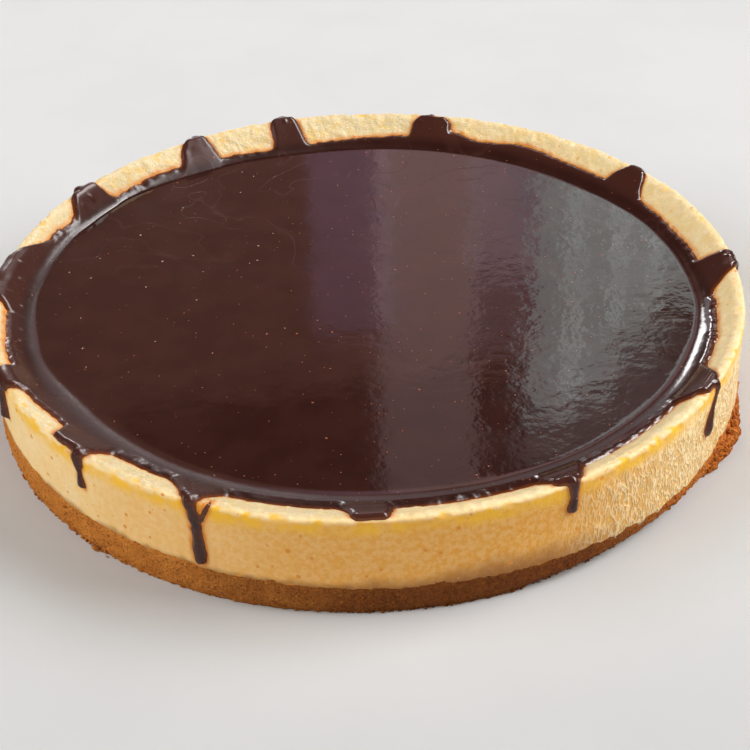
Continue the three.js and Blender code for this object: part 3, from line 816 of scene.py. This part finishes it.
print(ganache.name, "faces:", len(ganache.data.polygons))

# %% [markdown]
# ## Shared shader effects
# Three looks turn up in more than one material: fine grain in the relief, scattered specks, and slow
# mottling. Each is a node group with its own inputs, built once. All read Object coordinates, so the
# patterns are real size and don't slide.

# %% Node helpers
def add(tree, kind, settings=None, **inputs):
    """A node with its settings and its unlinked inputs filled in. Input names use _ for a space."""
    node = tree.nodes.new(kind)
    for name, value in (settings or {}).items():
        setattr(node, name, value)
    for name, value in inputs.items():
        node.inputs[name.replace("_", " ")].default_value = value
    return node


def wire(tree, source, target):
    tree.links.new(source, target)


def new_group(name, inputs, outputs):
    group = bpy.data.node_groups.new(name, "ShaderNodeTree")
    for socket, kind, value in inputs:
        made = group.interface.new_socket(socket, in_out="INPUT", socket_type=kind)
        if value is not None:
            made.default_value = value
    for socket in outputs:
        group.interface.new_socket(socket, in_out="OUTPUT", socket_type="NodeSocketFloat")
    return group, group.nodes.new("NodeGroupInput"), group.nodes.new("NodeGroupOutput")


def math_node(tree, operation, a, b=None):
    """A Math node; a and b are sockets or numbers."""
    node = tree.nodes.new("ShaderNodeMath")
    node.operation = operation
    for socket, value in zip(node.inputs, (a, b)):
        if isinstance(value, (int, float)):
            socket.default_value = value
        elif value is not None:
            tree.links.new(value, socket)
    return node.outputs[0]


def times(tree, a, b):
    return math_node(tree, "MULTIPLY", a, b)


def plus(tree, a, b):
    return math_node(tree, "ADD", a, b)


def ramp(tree, value, low, high, to_low=0.0, to_high=1.0):
    """A smooth passage from to_low to to_high while value goes from low to high."""
    node = add(tree, "ShaderNodeMapRange", {"interpolation_type": "SMOOTHSTEP"})
    tree.links.new(value, node.inputs["Value"])
    for name, number in (("From Min", low), ("From Max", high), ("To Min", to_low), ("To Max", to_high)):
        if isinstance(number, (int, float)):
            node.inputs[name].default_value = number
        else:
            tree.links.new(number, node.inputs[name])
    return node.outputs["Result"]


print("node groups before the first effect:", len(bpy.data.node_groups))

# %% Grain
grain, grain_in, grain_out = new_group("baked_grain", [
    ("Vector", "NodeSocketVector", None), ("Size mm", "NodeSocketFloat", 1.0),
    ("Pores", "NodeSocketFloat", 0.5),
], ["Height"])
scale = math_node(grain, "DIVIDE", 1000.0, grain_in.outputs["Size mm"])
coarse = add(grain, "ShaderNodeTexNoise", Detail=1.5, Roughness=0.5)
pores = add(grain, "ShaderNodeTexVoronoi")
fine = add(grain, "ShaderNodeTexNoise", Detail=0.5, Roughness=0.5)
for node, size in ((coarse, scale), (pores, scale), (fine, times(grain, scale, 2.1))):
    wire(grain, grain_in.outputs["Vector"], node.inputs["Vector"])
    wire(grain, size, node.inputs["Scale"])
hole = times(grain, ramp(grain, pores.outputs["Distance"], 0.05, 0.38), grain_in.outputs["Pores"])
crumbly = plus(grain, coarse.outputs["Fac"], hole)
wire(grain, plus(grain, crumbly, times(grain, fine.outputs["Fac"], 0.5)), grain_out.inputs["Height"])
print(grain.name, "nodes:", len(grain.nodes))

# %% Specks and mottling
specks, specks_in, specks_out = new_group("scattered_specks", [
    ("Vector", "NodeSocketVector", None), ("Spacing mm", "NodeSocketFloat", 5.0),
    ("Share", "NodeSocketFloat", 0.5), ("Size", "NodeSocketFloat", 0.1),
], ["Mask"])
cells = add(specks, "ShaderNodeTexVoronoi")
wire(specks, specks_in.outputs["Vector"], cells.inputs["Vector"])
wire(specks, math_node(specks, "DIVIDE", 1000.0, specks_in.outputs["Spacing mm"]), cells.inputs["Scale"])
draw = add(specks, "ShaderNodeSeparateColor")
wire(specks, cells.outputs["Color"], draw.inputs["Color"])
chosen = math_node(specks, "LESS_THAN", draw.outputs["Red"], specks_in.outputs["Share"])
uneven = ramp(specks, draw.outputs["Green"], 0, 1, 0.5, 1.3)
own_size = times(specks, specks_in.outputs["Size"], uneven)
dot = ramp(specks, cells.outputs["Distance"], times(specks, own_size, 0.55), own_size, 1.0, 0.0)
wire(specks, times(specks, dot, chosen), specks_out.inputs["Mask"])

mottle, mottle_in, mottle_out = new_group("slow_mottling", [
    ("Vector", "NodeSocketVector", None), ("Size mm", "NodeSocketFloat", 8.0),
], ["Value"])
clouds = add(mottle, "ShaderNodeTexNoise", Detail=3.0, Roughness=0.55)
wire(mottle, mottle_in.outputs["Vector"], clouds.inputs["Vector"])
wire(mottle, math_node(mottle, "DIVIDE", 1000.0, mottle_in.outputs["Size mm"]), clouds.inputs["Scale"])
wire(mottle, ramp(mottle, clouds.outputs["Fac"], 0.3, 0.7), mottle_out.inputs["Value"])
print("groups:", [g.name for g in bpy.data.node_groups])


# %% Material helpers
def new_material(name):
    """A material, its tree, its Principled shader and the Object coordinates."""
    material = bpy.data.materials.new(name)
    material.use_nodes = True
    tree = material.node_tree
    shader = tree.nodes["Principled BSDF"]
    return material, tree, shader, tree.nodes.new("ShaderNodeTexCoord").outputs["Object"]


def use_group(tree, group, vector, **inputs):
    node = add(tree, "ShaderNodeGroup", {"node_tree": group}, **inputs)
    wire(tree, vector, node.inputs["Vector"])
    return node.outputs


def grainy(tree, vector, pores):
    return use_group(tree, grain, vector, Size_mm=0.8, Pores=pores)["Height"]


def mottled(tree, vector, size):
    return use_group(tree, mottle, vector, Size_mm=size)["Value"]


def speckled(tree, vector, spacing, share, size):
    """Specks on a share of the cells, which are so many mm apart. Size is a speck's radius in cells."""
    return use_group(tree, specks, vector, Spacing_mm=spacing, Share=share, Size=size)["Mask"]


def marked(tree, name):
    """What an attribute says at each point."""
    return add(tree, "ShaderNodeAttribute", {"attribute_name": name}).outputs["Fac"]


def thin_lines(tree, noise, level, width):
    """1 where the noise passes through a level, and 0 once its value is further off than the width."""
    off = math_node(tree, "ABSOLUTE", math_node(tree, "SUBTRACT", noise.outputs["Fac"], level))
    return ramp(tree, off, 0.0, width, 1.0, 0.0)


print("shared effects:", grain.name, specks.name, mottle.name)


# %% Colour and relief helpers
def blend_colours(tree, share, first, second):
    """First colour where share is 0, second where it is 1."""
    node = add(tree, "ShaderNodeMix", {"data_type": "RGBA"})
    wire(tree, share, node.inputs["Factor"])
    for socket, value in ((node.inputs[6], first), (node.inputs[7], second)):
        if isinstance(value, tuple):
            socket.default_value = (*value, 1)
        else:
            wire(tree, value, socket)
    return node.outputs[2]


def layer_colours(tree, colour, layers):
    """Lays each (share, colour) over those before it, as coats of thin paint."""
    for share, over in layers:
        colour = blend_colours(tree, share, colour, over)
    return colour


def raise_relief(tree, shader, height, distance, strength=1.0):
    node = add(tree, "ShaderNodeBump", Distance=distance, Strength=strength)
    wire(tree, height, node.inputs["Height"])
    wire(tree, node.outputs["Normal"], shader.inputs["Normal"])


def wear_material(piece, material):
    piece.data.materials.clear()
    piece.data.materials.append(material)
    print(piece.name, "wears", material.name, "with", len(material.node_tree.nodes), "nodes")


MODELLED = (filling, biscuit, loose_crumbs, biscuit_grains, ganache)
print("pieces that wait for a finish:", [piece.name for piece in MODELLED])

# %% [markdown]
# ## Baked filling: cream, translucent, browned where the oven reached, with painted shade at the front
# Soft cheese lets light in a little way, so a touch of subsurface keeps it from looking like plaster.
# The colour is built in layers: pale cream, the torn crumb of the rim, the browned front with painted shade
# and warm bounce light kept on the points, the deep yellow band under the edge, and last the tiny orange
# specks.

# %% Filling colour
CREAM, DEEP_CREAM = (0.86, 0.67, 0.37), (0.83, 0.60, 0.27)
CRUMB, DEEP_CRUMB = (0.65, 0.55, 0.365), (0.63, 0.475, 0.21)
BAKED_BLOTCH, GOLDEN_AND_SHADE = (0.75, 0.46, 0.085), (0.72, 0.335, 0.040)
EDGE_YELLOW, BISCUIT_STAIN = (0.84, 0.47, 0.024), (0.27, 0.098, 0.016)
cream, tree, shader, spot_on = new_material("baked_cream")
small_cloud = mottled(tree, spot_on, 1.7)
open_crumb = marked(tree, "open_crumb")
skin = blend_colours(tree, mottled(tree, spot_on, 7.0), CREAM, DEEP_CREAM)
crumb = blend_colours(tree, mottled(tree, spot_on, 1.0), CRUMB, DEEP_CRUMB)
blotch = times(tree, ramp(tree, mottled(tree, spot_on, 3.4), 0.55, 1.0), open_crumb)
# The gold of the front is partly browned crust and partly painted shade and warm bounce light.
golden_and_shade = times(tree, marked(tree, "browning_and_shade"), ramp(tree, small_cloud, 0, 1, 0.72, 1.0))
patchy = ramp(tree, mottled(tree, spot_on, 9.0), 0.1, 0.75, 0.35, 1.0)
colour = layer_colours(tree, skin, [
    (times(tree, open_crumb, 0.8), crumb),
    (times(tree, blotch, 0.5), BAKED_BLOTCH),
    (golden_and_shade, GOLDEN_AND_SHADE),
    (times(tree, marked(tree, "edge_band"), patchy), EDGE_YELLOW),
    (times(tree, marked(tree, "biscuit_stain"), 0.88), BISCUIT_STAIN),
])
print("nodes for the baked colours:", len(tree.nodes))

# %% Specks, creases and the stain along the ganache
BIG_SPECK, SMALL_SPECK, PALE_GRAIN_AND_SPARKLE = (0.66, 0.24, 0.018), (0.72, 0.33, 0.04), (0.80, 0.74, 0.58)
VALLEY_SHADE, RIDGE_HIGHLIGHT, GANACHE_STAIN = (0.70, 0.37, 0.07), (0.95, 0.80, 0.50), (0.62, 0.19, 0.004)
closed_skin = ramp(tree, open_crumb, 0, 1, 1.0, 0.0)
big_specks = speckled(tree, spot_on, 4.2, 0.6, 0.18)
small_specks = speckled(tree, spot_on, 1.9, 0.4, 0.2)
# Pale grains on the open crumb: partly real pale crumbs, partly painted sparkle highlights.
pale_grains_and_sparkles = speckled(tree, spot_on, 1.1, 0.45, 0.34)
worms = add(tree, "ShaderNodeTexNoise", Scale=820.0, Detail=0.8, Roughness=0.4, Distortion=0.35)
upright = add(tree, "ShaderNodeMapping", Rotation=(0.0, math.radians(14), 0.0), Scale=(1.0, 1.0, 0.4))
wire(tree, spot_on, upright.inputs["Vector"])
wire(tree, upright.outputs["Vector"], worms.inputs["Vector"])
creased_here = marked(tree, "creases")
# Crease colours: painted shade in the hollows and painted highlight on the ridges.
ridge = times(tree, thin_lines(tree, worms, 0.5, 0.15), creased_here)
valley_shade = math_node(tree, "SUBTRACT", creased_here, ridge)
colour = layer_colours(tree, colour, [
    (times(tree, big_specks, ramp(tree, closed_skin, 0, 1, 0.1, 0.95)), BIG_SPECK),
    (times(tree, small_specks, ramp(tree, closed_skin, 0, 1, 0.1, 0.5)), SMALL_SPECK),
    (times(tree, pale_grains_and_sparkles, ramp(tree, open_crumb, 0, 1, 0.0, 0.6)), PALE_GRAIN_AND_SPARKLE),
    (times(tree, valley_shade, 0.6), VALLEY_SHADE),
    (times(tree, ridge, 0.5), RIDGE_HIGHLIGHT),
    (times(tree, marked(tree, "ganache_fringe"), 0.9), GANACHE_STAIN),
])
wire(tree, colour, shader.inputs["Base Color"])
print("nodes with specks, creases and stain:", len(tree.nodes))

# %% Filling sheen and relief
dull = ramp(tree, small_cloud, 0, 1, 0.46, 0.62)
sheen = math_node(tree, "SUBTRACT", dull, times(tree, creased_here, 0.2))
wire(tree, sheen, shader.inputs["Roughness"])
shader.inputs["Subsurface Weight"].default_value = 0.15
shader.inputs["Subsurface Radius"].default_value = (1.0, 0.5, 0.2)
shader.inputs["Subsurface Scale"].default_value = 2 * MM
relief_height = times(tree, grainy(tree, spot_on, 0.12), ramp(tree, open_crumb, 0, 1, 0.4, 0.7))
relief_height = plus(tree, relief_height, times(tree, ridge, 0.95))
raise_relief(tree, shader, relief_height, 0.34 * MM)
wear_material(filling, cream)

# %% [markdown]
# ## Pressed biscuit: matt, grainy, tan with darker crumbs
# Broken biscuit is dry, so nothing shines. Pale and dark crumbs lie next to each other at one to two
# millimetres. One flat brown would look like clay, so each size of crumb is a layer of its own.

# %% Biscuit material
TAN, DEEP_TAN, BROWNED_AND_SHADED = (0.61, 0.215, 0.031), (0.49, 0.154, 0.020), (0.085, 0.017, 0.002)
DARK_RUST, LIGHT_RUST, PALE_RUSK = (0.28, 0.045, 0.005), (0.66, 0.19, 0.02), (0.50, 0.23, 0.06)
DARK_BIT, PALE_BIT = (0.16, 0.045, 0.008), (0.60, 0.29, 0.07)
rusk, tree, shader, spot_on = new_material("pressed_biscuit")
small_cloud = mottled(tree, spot_on, 1.3)
browning_and_shade = marked(tree, "browning_and_shade")
dark_bits = speckled(tree, spot_on, 1.5, 0.55, 0.34)
pale_bits = speckled(tree, spot_on, 1.2, 0.4, 0.3)
rust = blend_colours(tree, small_cloud, DARK_RUST, LIGHT_RUST)
colour = blend_colours(tree, mottled(tree, spot_on, 6.0), TAN, DEEP_TAN)
# The dark front layer is partly browned biscuit and partly painted shade.
colour = layer_colours(tree, colour, [
    (times(tree, browning_and_shade, 0.95), BROWNED_AND_SHADED),
    (times(tree, marked(tree, "rusty"), 0.8), rust),
    (times(tree, small_cloud, ramp(tree, browning_and_shade, 0, 1, 0.3, 0.1)), PALE_RUSK),
    (times(tree, dark_bits, 0.6), DARK_BIT),
    (times(tree, pale_bits, ramp(tree, browning_and_shade, 0, 1, 0.65, 0.12)), PALE_BIT),
])
wire(tree, colour, shader.inputs["Base Color"])
wire(tree, ramp(tree, small_cloud, 0, 1, 0.75, 0.95), shader.inputs["Roughness"])
shader.inputs["Specular IOR Level"].default_value = 0.2
raise_relief(tree, shader, grainy(tree, spot_on, 0.8), 0.7 * MM)
for piece in (biscuit, loose_crumbs, biscuit_grains):
    wear_material(piece, rusk)

# %% [markdown]
# ## Ganache: nearly black, glossy, with fine bubbles
# Set ganache is smooth but not a mirror: it has slow ripples, faint swirls from the pouring, and tiny
# bubbles that show orange where light comes through their walls. Where it clings to the bank and runs over
# the rim it set sooner, so it is browner and duller than the pool.

# %% Ganache colour
DARK, DARKEST, CLINGING = (0.033, 0.0093, 0.0064), (0.025, 0.0066, 0.0046), (0.052, 0.0155, 0.0105)
THIN, STREAK = (0.17, 0.042, 0.008), (0.075, 0.026, 0.018)
LARGE_BUBBLE, FINE_BUBBLE = (0.34, 0.10, 0.045), (0.34, 0.10, 0.05)
gloss, tree, shader, spot_on = new_material("set_ganache")
clinging = marked(tree, "clinging")
pool_place = add(tree, "ShaderNodeSeparateXYZ")
wire(tree, spot_on, pool_place.inputs["Vector"])
swirl = add(tree, "ShaderNodeTexNoise", Scale=26.0, Detail=1.5, Roughness=0.5, Distortion=1.6)
wire(tree, spot_on, swirl.inputs["Vector"])
at_back = ramp(tree, pool_place.outputs["Y"], -5 * MM, 55 * MM)
streak = times(tree, thin_lines(tree, swirl, 0.52, 0.014), at_back)
bubbles = speckled(tree, spot_on, 4.6, 0.6, 0.075)
fine_bubbles = speckled(tree, spot_on, 2.3, 0.55, 0.095)
colour = blend_colours(tree, mottled(tree, spot_on, 12.0), DARK, DARKEST)
colour = layer_colours(tree, colour, [
    (clinging, CLINGING),
    (times(tree, marked(tree, "thin_edge"), 0.8), THIN),
    (times(tree, streak, 0.22), STREAK),
    (times(tree, bubbles, 0.85), LARGE_BUBBLE),
    (times(tree, fine_bubbles, 0.9), FINE_BUBBLE),
])
wire(tree, colour, shader.inputs["Base Color"])
print("nodes for the ganache's colour:", len(tree.nodes))

# %% Ganache gloss and ripples
polish = ramp(tree, mottled(tree, spot_on, 20.0), 0, 1, 0.05, 0.08)
polish = plus(tree, polish, times(tree, streak, 0.03))
polish = plus(tree, polish, times(tree, marked(tree, "dull"), 0.2))
wire(tree, polish, shader.inputs["Roughness"])
shader.inputs["Specular IOR Level"].default_value = 0.38
ripples = add(tree, "ShaderNodeTexNoise", Scale=150.0, Detail=3.0, Roughness=0.55)
wire(tree, spot_on, ripples.inputs["Vector"])
rippled = ramp(tree, pool_place.outputs["X"], -30 * MM, 60 * MM, 0.25, 1.0)
rippled = times(tree, rippled, ramp(tree, clinging, 0, 1, 1.0, 0.4))
at_right = ramp(tree, pool_place.outputs["X"], 0.0, 50 * MM)
knobs = times(tree, speckled(tree, spot_on, 5.0, 0.6, 0.07), at_right)
bump_height = times(tree, ripples.outputs["Fac"], rippled)
for feature, share in ((bubbles, 0.2), (streak, 0.1), (knobs, 0.7)):
    bump_height = plus(tree, bump_height, times(tree, feature, share))
raise_relief(tree, shader, bump_height, 0.12 * MM, 0.55)
wear_material(ganache, gloss)

# %% [markdown]
# ## Studio
# The photo shows a bright room: large soft windows at the sides and behind. The pool is a dark mirror,
# so what shows in it is where the lights stand. Each softbox is placed by its direction from the cake and
# by how bright its face is, which is how a photographer meters them.

# %% Floor
FLOOR_SIZE = 30
FLOOR, FLOOR_CLOUD, FLOOR_SHADE_NEAR = (0.60, 0.60, 0.605), (0.58, 0.58, 0.585), (0.44, 0.44, 0.445)
table, tree, shader, spot_on = new_material("pale_table")
cloud = mottled(tree, spot_on, 60.0)
floor_place = add(tree, "ShaderNodeSeparateXYZ")
wire(tree, spot_on, floor_place.inputs["Vector"])
# The floor darkens towards the front: painted shade.
painted_front_shade = ramp(tree, floor_place.outputs["Y"], -0.28, 0.0, 0.75, 0.0)
colour = blend_colours(tree, cloud, FLOOR, FLOOR_CLOUD)
wire(tree, blend_colours(tree, painted_front_shade, colour, FLOOR_SHADE_NEAR), shader.inputs["Base Color"])
wire(tree, ramp(tree, cloud, 0, 1, 0.85, 0.92), shader.inputs["Roughness"])
shader.inputs["Specular IOR Level"].default_value = 0.2
bpy.ops.object.select_all(action="DESELECT")
bpy.ops.mesh.primitive_plane_add(size=FLOOR_SIZE)
floor = bpy.context.object
floor.name = "table_top"
wear_material(floor, table)

# %% One softbox
SOFTBOX_DISTANCE = 10.0


def softbox(name, azimuth, elevation, width, height, brightness, colour, shows="both"):
    """A lamp in that direction: azimuth in degrees right of +Y, width and height in degrees. It can show
    in gloss only, as a card does that is hung for its reflection, or light the matt surfaces only."""
    turn, rise = math.radians(azimuth), math.radians(elevation)
    away = Vector((math.sin(turn) * math.cos(rise), math.cos(turn) * math.cos(rise), math.sin(rise)))
    lamp = bpy.data.objects.new(name, bpy.data.lights.new(name, "AREA"))
    bpy.context.scene.collection.objects.link(lamp)
    lamp.data.shape = "RECTANGLE"
    lamp.data.size = 2 * SOFTBOX_DISTANCE * math.tan(math.radians(width) / 2)
    lamp.data.size_y = 2 * SOFTBOX_DISTANCE * math.tan(math.radians(height) / 2)
    lamp.data.energy = math.pi * lamp.data.size * lamp.data.size_y * brightness
    lamp.data.color = colour
    lamp.location = away * SOFTBOX_DISTANCE
    lamp.rotation_euler = away.to_track_quat("Z", "Y").to_euler()
    lamp.visible_glossy = shows != "matt"
    lamp.visible_diffuse = shows != "gloss"


print("softboxes stand", SOFTBOX_DISTANCE, "m away")

# %% Windows, walls and room
# Each pane: middle azimuth, upper edge, width and brightness. A higher edge reaches nearer in the pool.
WINDOW_FOOT = 25
WINDOW_PANES = [
    (7.45, 37.0, 1.6, 1.5), (9.0, 36.0, 1.7, 1.65), (10.6, 34.3, 1.6, 1.8), (13.2, 32.8, 3.6, 1.8)]
WHITE = (1.0, 1.0, 1.0)
# The rest: name, azimuth, elevation, width, height, brightness, colour, and what it lights if not both.
SOFTBOXES = [
    ("window_sill", 10.6, 36.8, 7.6, 5.0, 0.42, (0.85, 0.95, 1.0), "gloss"),
    ("window_strip", 2.2, 33.5, 3.4, 13.0, 0.82, (1.0, 0.76, 0.78)),
    ("violet_pane", 5.3, 29.3, 2.2, 5.4, 0.85, (0.95, 0.8, 1.0)),
    ("violet_shade", 5.3, 33.2, 2.2, 2.6, 0.3, (0.8, 0.65, 1.0)),
    ("violet_strip", -0.8, 30.0, 2.8, 8.0, 0.45, (0.7, 0.55, 1.0)),
    ("window_back_right", 21.0, 27.0, 13.0, 12.0, 0.4, (1.0, 0.85, 0.85)),
    ("bright_pane", -9.5, 20.0, 8.0, 10.0, 14.0, WHITE, "gloss"),
    ("low_pane", -1.5, 15.0, 15.0, 14.0, 0.5, (1.0, 0.88, 0.93), "gloss"),
    ("dim_pane", -20.0, 15.0, 12.0, 14.0, 1.4, (1.0, 0.9, 1.0)),
    ("back_wall", -9.0, 29.0, 26.0, 14.0, 0.36, (1.0, 0.48, 0.36)),
    ("right_wall", 80.0, 35.0, 40.0, 42.0, 8.6, WHITE, "matt"),
    ("right_glint", 60.0, 55.5, 50.0, 12.0, 17.0, WHITE, "gloss"),
    ("low_glint", 47.0, 39.5, 15.0, 10.0, 17.0, WHITE, "gloss"),
    ("left_wall", -98.0, 35.0, 50.0, 40.0, 4.4, WHITE, "matt"),
    ("left_glint", -90.0, 38.0, 16.0, 14.0, 2.5, (0.8, 0.88, 1.0), "gloss"),
    ("front_card", 180.0, 24.0, 100.0, 36.0, 0.95, (1.0, 0.86, 0.62)),
]
for number, (turn, edge, width, brightness) in enumerate(WINDOW_PANES):
    softbox(f"window_pane_{number}", turn, (edge + WINDOW_FOOT) / 2, width, edge - WINDOW_FOOT,
            brightness, (0.87, 1.0, 0.98))
for row in SOFTBOXES:
    softbox(*row)
room = bpy.data.worlds.new("room")
bpy.context.scene.world = room
room.use_nodes = True
room.node_tree.nodes["Background"].inputs["Color"].default_value = (0.9, 0.95, 1.0, 1)
room.node_tree.nodes["Background"].inputs["Strength"].default_value = 0.05
bpy.context.scene.view_settings.view_transform = "Standard"
print("lamps:", len(bpy.data.lights))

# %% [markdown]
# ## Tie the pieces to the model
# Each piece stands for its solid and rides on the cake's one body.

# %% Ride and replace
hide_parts("cheesecake_filling")
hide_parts("biscuit_base")
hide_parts("chocolate_ganache")
for piece, slot in ((filling, "filling"), (biscuit, "biscuit"), (loose_crumbs, "biscuit"),
                    (biscuit_grains, "biscuit"), (ganache, "ganache")):
    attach(piece, "root")
    triangles = sum(len(face.vertices) - 2 for face in piece.data.polygons)
    print(piece.name, "triangles:", triangles)
